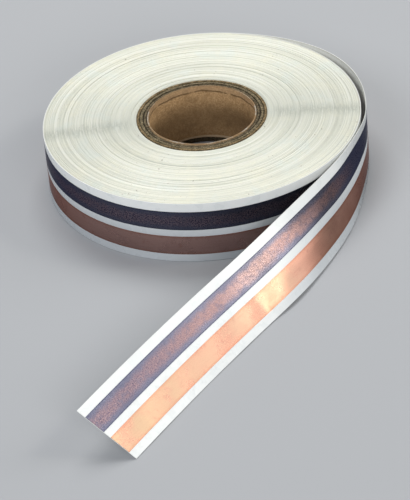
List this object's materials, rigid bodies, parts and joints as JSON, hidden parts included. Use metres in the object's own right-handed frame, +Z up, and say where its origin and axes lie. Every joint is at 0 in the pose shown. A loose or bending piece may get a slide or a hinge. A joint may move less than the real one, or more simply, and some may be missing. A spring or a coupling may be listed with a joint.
{
  "type": "roll of two-stripe copper foil tape",
  "caption": "Roll of white adhesive tape with a dark and a bare copper foil stripe, on a cardboard core, its loose tail twisting down onto the table.",
  "frame": {"origin": "on the bore axis, in the bottom face of the roll that rests on the table", "axes": "+Z up along the bore axis; +X to the side where the loose strip passes the roll, -Y towards the cut end"},
  "size_m": [0.0773, 0.1448, 0.0159],
  "materials": {
    "kraft_board": "matte",
    "liner_paper": "matte",
    "white_carrier": "satin",
    "dark_coated_foil": "satin",
    "bare_copper_foil": "satin"
  },
  "bodies": {
    "roll": {"core_face_ply": "kraft_board", "core_inner_ply": "kraft_board", "core_middle_ply": "kraft_board", "core_outer_ply": "kraft_board", "wound_liner": "liner_paper", "wound_film": "white_carrier", "wound_dark_foil": "dark_coated_foil", "wound_copper_foil": "bare_copper_foil", "outer_turn_liner": "liner_paper", "outer_turn_film": "white_carrier", "outer_turn_dark_foil": "dark_coated_foil", "outer_turn_copper_foil": "bare_copper_foil"},
    "tail_near": {"tail_near_liner": "liner_paper", "tail_near_film": "white_carrier", "tail_near_dark_foil": "dark_coated_foil", "tail_near_copper_foil": "bare_copper_foil"},
    "tail_mid": {"tail_mid_liner": "liner_paper", "tail_mid_film": "white_carrier", "tail_mid_dark_foil": "dark_coated_foil", "tail_mid_copper_foil": "bare_copper_foil"},
    "tail_end": {"tail_end_liner": "liner_paper", "tail_end_film": "white_carrier", "tail_end_dark_foil": "dark_coated_foil", "tail_end_copper_foil": "bare_copper_foil"}
  },
  "joints": [
    {"name": "tail_swing", "type": "hinge", "parent": "roll", "child": "tail_near", "pos_m": [0.03916, 0.00102, 0.00794], "axis": [0, 0, 1], "range_deg": [0, 60], "stiffness_Nm_per_rad": 0.001},
    {"name": "tail_bend", "type": "hinge", "parent": "tail_near", "child": "tail_mid", "pos_m": [0.02283, -0.03902, 0.00676], "axis": [-0.4309, 0.3185, 0.8443], "range_deg": [0, 45], "stiffness_Nm_per_rad": 0.002},
    {"name": "tip_bend", "type": "hinge", "parent": "tail_mid", "child": "tail_end", "pos_m": [-0.00477, -0.07456, 0.00518], "axis": [-0.6141, 0.4579, 0.6428], "range_deg": [0, 60], "stiffness_Nm_per_rad": 0.001}
  ]
}
